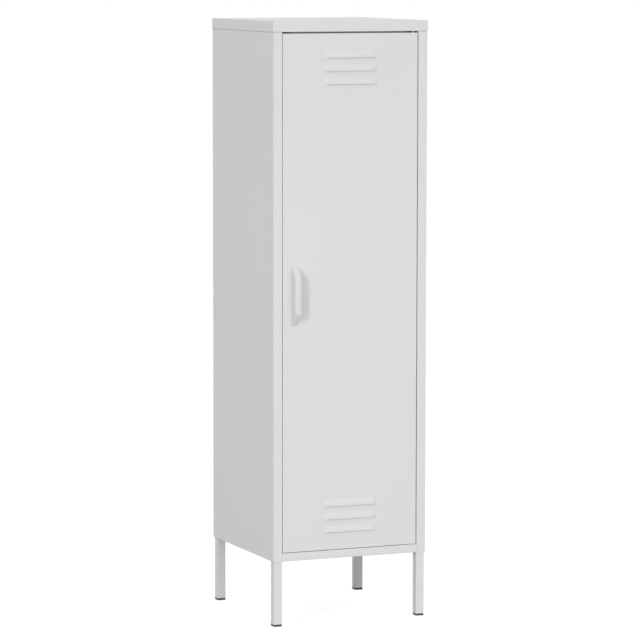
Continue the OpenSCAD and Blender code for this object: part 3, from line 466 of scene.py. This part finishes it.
screwTree = makeScrewTree(crossScrews)
for name, node, body, outward in (
        ("backScrews", "back_screws", "cabinet", (0, 1, 0)),
        ("baseScrews", "base_screws", "cabinet", (0, 0, -1)),
        ("legBolts", "leg_bolts", "cabinet", (0, 0, 1)),
        ("catchScrews", "catch_screws", "cabinet", (1, 0, 0)),
        ("handleScrews", "handle_screws", "door", (0, 1, 0))):
    placeScrews(crossScrews, screwTree, name, node, body, outward)

pinSpring = {
    "wireRadius": 0.0004,
    "activeTurns": 6, "closedTurns": 1,     # closed turns at each end lie on their neighbour
    "stepsInTurn": 40, "wireSides": 12,
    "closedPart": 1.04,                     # rise of a closed turn for each wire thickness
    "endGap": 0.0002,                       # between the spring and what it stands on
}


def makeSpringTree():
    tree, w, given = newTree("pinSpring", {
        "Radius": "Float", "Wire Radius": "Float", "Turns": "Int", "Steps In Turn": "Int",
        "Closed Turns": "Int", "Closed Rise": "Float", "Active Rise": "Float",
        "Wire Sides": "Int", "Material": "Material"})
    spiral = w.node("GeometryNodeCurveSpiral", Resolution=given["Steps In Turn"],
                    Rotations=given["Turns"], Start_Radius=given["Radius"],
                    End_Radius=given["Radius"], Height=0.0, Reverse=False).outputs["Curve"]
    done = w.math("DIVIDE", w.node("GeometryNodeInputIndex").outputs[0], given["Steps In Turn"])
    last = w.math("SUBTRACT", given["Turns"], given["Closed Turns"])
    foot = w.math("MINIMUM", done, given["Closed Turns"])
    top = w.math("MAXIMUM", w.math("SUBTRACT", done, last), 0.0)
    closed = w.math("ADD", foot, top)
    between = w.math("SUBTRACT", done, closed)
    rise = w.math("ADD", w.math("MULTIPLY", closed, given["Closed Rise"]),
                  w.math("MULTIPLY", between, given["Active Rise"]))
    lifted = w.node("GeometryNodeSetPosition", Geometry=spiral,
                    Offset=w.vector(z=rise)).outputs[0]
    ring = w.node("GeometryNodeCurvePrimitiveCircle", Resolution=given["Wire Sides"],
                  Radius=given["Wire Radius"]).outputs["Curve"]
    wire = w.node("GeometryNodeCurveToMesh", Curve=lifted, Profile_Curve=ring,
                  Fill_Caps=True).outputs[0]
    standOnPoints(w, given, wire)
    return tree


def makeSpring(want):
    low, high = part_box("hinge_spring")
    pin = (low + high) / 2
    wire = want["wireRadius"]
    closedRise = want["closedPart"] * 2 * wire
    activeHeight = high.z - low.z - 2 * wire - 2 * want["closedTurns"] * closedRise
    spring = growMesh("pinSpring", makeSpringTree(), {
        "Radius": (high.x - low.x) / 2 - wire, "Wire Radius": wire,
        "Turns": want["activeTurns"] + 2 * want["closedTurns"],
        "Steps In Turn": want["stepsInTurn"], "Closed Turns": want["closedTurns"],
        "Closed Rise": closedRise, "Active Rise": activeHeight / want["activeTurns"],
        "Wire Sides": want["wireSides"], "Material": finishes["zinc"],
    }, [(pin.x, pin.y, low.z + wire)])
    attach(spring, "door")
    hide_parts("hinge_spring")
    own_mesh(spring)


makeSpring(pinSpring)

# The cast pull, finer than its solid. Its round side keeps its depth along the slopes, so that
# the ends come out narrow
pullHandle = {
    "reach": 0.0216, "out": 0.026, "flatLength": 0.088, "bend": 0.010,
    "flatWidth": 0.0085,        # width of the nearly flat front
    "crownDeep": 0.0150,        # how far the round side would fall if it ended square to the door
    "flatFall": 0.0004,
    "ridge": 0.0022,            # radius of the edge on the closed side
    "leastRidge": 0.0004,       # never sharper than this inside the hollow
    "lipDeep": 0.0092, "lipRound": 0.0011,
    "wall": 0.0022, "solidEnd": 0.016, "endStep": 0.0006, "foot": 0.022,
    "crownSteps": 22, "cornerSteps": 6, "bendSteps": 14, "slopeSteps": 16,
    "screwInset": 0.009, "screwRadius": 0.00205, "screwDepth": 0.0055, "screwSides": 32,
    "crease": 28.0,
}


# Side view: the stations along the handle and its height at each
def pullStations(want, length, flat, out, bend):
    slope = math.atan2(out, (length - flat) / 2)
    start = flat / 2 - bend * math.tan(slope / 2)
    half = [(0.0, out)]
    for step in range(want["bendSteps"] + 1):
        angle = slope * step / want["bendSteps"]
        half.append((start + bend * math.sin(angle), out - bend + bend * math.cos(angle)))
    fromZ, fromHeight = half[-1]
    for step in range(1, want["slopeSteps"] + 1):
        part = step / want["slopeSteps"]
        height = max(fromHeight * (1.0 - part), want["endStep"])
        half.append((fromZ + (length / 2 - fromZ) * part, height))
    return [(-z, height) for z, height in reversed(half[1:])] + half


# Cross-section as width and fall from the front, from the closed side to the lip of the open side
def pullCrown(want, inset):
    ridge = max(want["ridge"] - inset, want["leastRidge"])
    flat, wide = want["flatWidth"], want["reach"] - want["flatWidth"] - inset
    deep = want["crownDeep"] - inset
    points = []
    for step in range(want["cornerSteps"] + 1):
        angle = math.pi / 2 * step / want["cornerSteps"]
        points.append((inset + ridge - ridge * math.cos(angle), ridge - ridge * math.sin(angle)))
    lipAngle = math.acos(1.0 - (want["lipDeep"] - inset) / deep)
    for step in range(want["crownSteps"] + 1):
        angle = lipAngle * step / want["crownSteps"]
        fall = want["flatFall"] + deep * (1.0 - math.cos(angle))
        points.append((flat + wide * math.sin(angle), fall))
    return points


# The outside's section, whose lip is rounded
def pullOutline(want):
    points = pullCrown(want, 0.0)
    lip = want["lipRound"]
    edgeX, edgeFall = points[-1]
    for step in range(1, want["cornerSteps"] + 1):
        angle = math.pi / 2 * step / want["cornerSteps"]
        points.append((edgeX - lip * (1.0 - math.cos(angle)), edgeFall + lip * math.sin(angle)))
    return points


def addForm(name, work, joinDistance=1e-7):
    bmesh.ops.remove_doubles(work, verts=work.verts, dist=joinDistance)
    bmesh.ops.recalc_face_normals(work, faces=work.faces)
    mesh = bpy.data.meshes.new(name)
    work.to_mesh(mesh)
    work.free()
    form = bpy.data.objects.new(name, mesh)
    scene.collection.objects.link(form)
    return form


# A section drawn along the stations, down to a foot behind the door's face
def addPull(name, points, stations, corner, foot):
    work = bmesh.new()
    first, last = points[0][0], points[-1][0]
    rings = []
    for z, height in stations:
        ring = [(first, -foot)] + [(x, height - fall) for x, fall in points] + [(last, -foot)]
        rings.append([work.verts.new((corner.x + x, corner.y - h, corner.z + z))
                      for x, h in ring])
    for lower, upper in zip(rings, rings[1:]):
        for k in range(len(lower)):
            after = (k + 1) % len(lower)
            work.faces.new((lower[k], lower[after], upper[after], upper[k]))
    work.faces.new(rings[0])
    work.faces.new(list(reversed(rings[-1])))
    return addForm(name, work)


# The box that trims the foot, the hollow for the fingers and the two holes for the screws
def pullCutters(want, low, high, corner, length):
    work = bmesh.new()
    size = Matrix.Diagonal((*(high - low), 1.0))
    bmesh.ops.create_cube(work, size=1.0, matrix=Matrix.Translation((low + high) / 2) @ size)
    cutters = [("INTERSECT", addForm("pullBounds", work))]

    wall = want["wall"]
    inside = pullCrown(want, wall)
    inside.append((2 * want["reach"], inside[-1][1]))      # out through the open side
    hollow = pullStations(want, length - 2 * want["solidEnd"], want["flatLength"] - wall,
                          want["out"] - wall, want["bend"] - wall)
    cutters.append(("DIFFERENCE", addPull("pullHollow", inside, hollow, corner, want["foot"])))

    tapLow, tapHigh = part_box("handle_screws")
    for side in (-1, 1):
        work = bmesh.new()
        place = Vector(((tapLow.x + tapHigh.x) / 2, corner.y,
                        corner.z + side * (length / 2 - want["screwInset"])))
        lying = Matrix.Rotation(math.pi / 2, 4, "X")
        bmesh.ops.create_cone(work, cap_ends=True, segments=want["screwSides"],
                              radius1=want["screwRadius"], radius2=want["screwRadius"],
                              depth=2 * want["screwDepth"],
                              matrix=Matrix.Translation(place) @ lying)
        cutters.append(("DIFFERENCE", addForm("pullTap", work)))
    return cutters


def makePull(want):
    low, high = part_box("handle")
    corner = Vector((low.x, high.y, (low.z + high.z) / 2))
    length = high.z - low.z
    stations = pullStations(want, length, want["flatLength"], want["out"], want["bend"])
    pull = addPull("pullHandle", pullOutline(want), stations, corner, want["foot"])
    cutters = pullCutters(want, low, high, corner, length)
    for operation, cutter in cutters:
        cut = pull.modifiers.new("cut", "BOOLEAN")
        cut.operation, cut.solver, cut.object = operation, "EXACT", cutter
    bpy.context.view_layer.update()
    evaluated = pull.evaluated_get(bpy.context.evaluated_depsgraph_get())
    mesh = bpy.data.meshes.new_from_object(evaluated)
    pull.modifiers.clear()
    for operation, cutter in cutters:
        bpy.data.objects.remove(cutter)
    pull.data = mesh
    mesh.materials.clear()
    mesh.materials.append(finishes["paint"])
    mesh.shade_smooth()
    mesh.set_sharp_from_angle(angle=math.radians(want["crease"]))
    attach(pull, "door")
    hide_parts("handle")
    print("stage: pull handle made,", len(mesh.polygons), "faces")


makePull(pullHandle)

studioSky = {
    "colour": (1.0, 1.0, 1.0, 1.0),
    "plain": 0.375, "tilt": (0.14, -0.24, 0.34),      # brighter towards the tilt's direction
    "seen": 1.0,                                      # strength for the camera and in reflections
}


def makeSky(want):
    world = bpy.data.worlds.new("studioSky")
    scene.world = world
    world.use_nodes = True
    w = Wiring(world.node_tree)
    direction = w.node("ShaderNodeTexCoord").outputs["Generated"]
    dot = w.node("ShaderNodeVectorMath", {"operation": "DOT_PRODUCT"}, i0=direction,
                 i1=want["tilt"])
    soft = w.math("ADD", dot.outputs["Value"], want["plain"])
    path = w.node("ShaderNodeLightPath").outputs
    seen = w.math("MAXIMUM", path["Is Camera Ray"], path["Is Glossy Ray"])
    seen = w.math("MAXIMUM", seen, path["Is Transmission Ray"])
    level = w.node("ShaderNodeMix", {"data_type": "FLOAT"}, Factor=seen, A=soft,
                   B=want["seen"])
    backdrop = world.node_tree.nodes["Background"]
    w.feed(backdrop, "Color", want["colour"])
    w.feed(backdrop, "Strength", level.outputs["Result"])


makeSky(studioSky)

paleFloor = {
    "size": 40.0,
    "colour": (0.46, 0.46, 0.46), "mottleScale": 3.0, "mottleDepth": 0.03, "roughness": 0.9,
    # what the camera sees: white, with a soft shadow
    "shown": (0.30, 0.30, 0.30, 1.0), "glow": (1.0, 1.0, 1.0, 1.0), "glowStrength": 0.86,
}


def makeFloor(want):
    half = want["size"] / 2
    mesh = bpy.data.meshes.new("floor")
    mesh.from_pydata([(-half, -half, 0), (half, -half, 0), (half, half, 0), (-half, half, 0)],
                     [], [(0, 1, 2, 3)])
    floor = bpy.data.objects.new("floor", mesh)
    scene.collection.objects.link(floor)
    material, w, shader, place = newMaterial("paleFloor")
    tone = w.ramp(w.noise(place, want["mottleScale"]), *noiseSpan, 1.0 - want["mottleDepth"], 1.0)
    w.feed(shader, "Base Color", w.tone(want["colour"], tone))
    w.feed(shader, "Roughness", want["roughness"])
    diffuse = w.node("ShaderNodeBsdfDiffuse", Color=want["shown"]).outputs[0]
    glow = w.node("ShaderNodeEmission", Color=want["glow"],
                  Strength=want["glowStrength"]).outputs[0]
    shown = w.node("ShaderNodeAddShader", i0=diffuse, i1=glow).outputs[0]
    path = w.node("ShaderNodeLightPath").outputs
    seen = w.math("MAXIMUM", path["Is Camera Ray"], path["Is Glossy Ray"])
    choose = w.node("ShaderNodeMixShader", i0=seen, i1=shader.outputs[0], i2=shown).outputs[0]
    w.feed(w.tree.nodes["Material Output"], "Surface", choose)
    mesh.materials.append(material)


makeFloor(paleFloor)

# Angles are in degrees: turn goes from straight ahead of the door to the left, rise upwards
studioLamps = {
    "key": {"turn": 51.0, "rise": 15.0, "away": 8.0, "size": 0.8, "power": 155.0},
    "fill": {"turn": 0.0, "rise": -9.0, "away": 3.5, "size": 0.9, "power": 28.0,
             "misses": ("leg_back_right", "foot_cap_back_right")},
    "rim": {"turn": 118.0, "rise": 8.0, "away": 9.0, "size": 3.0, "power": 42.0},
    "back": {"turn": 225.0, "rise": 6.0, "away": 9.0, "size": 3.0, "power": 190.0},
}
lampsAim = Vector((0.0, 0.0, 0.8))


# Keeps a lamp off pieces. The low front light would reach a leg that the photograph shows in the
# cabinet's shade
def keepOff(lamp, names):
    shaded = bpy.data.collections.new("legsInShade")
    for name in names:
        shaded.objects.link(nodes[name])
    for entry in shaded.collection_objects:
        entry.light_linking.link_state = "EXCLUDE"
    lamp.light_linking.receiver_collection = shaded


def makeLamp(name, want):
    turn, rise = math.radians(want["turn"]), math.radians(want["rise"])
    toLamp = Vector((-math.sin(turn) * math.cos(rise), -math.cos(turn) * math.cos(rise),
                     math.sin(rise)))
    data = bpy.data.lights.new(name, "AREA")
    data.shape = "DISK"
    data.size = want["size"]
    data.energy = want["power"]
    lamp = bpy.data.objects.new(name, data)
    spot = Matrix.Translation(lampsAim + toLamp * want["away"])
    lamp.matrix_world = spot @ toLamp.to_track_quat("Z", "Y").to_matrix().to_4x4()
    lamp.visible_camera = False
    lamp.visible_glossy = False      # a lamp mirrored in the lid would burn out
    scene.collection.objects.link(lamp)
    if "misses" in want:
        keepOff(lamp, want["misses"])


for name, want in studioLamps.items():
    makeLamp(name + "Lamp", want)
scene.view_settings.view_transform = "Standard"
print("stage: studio lit")
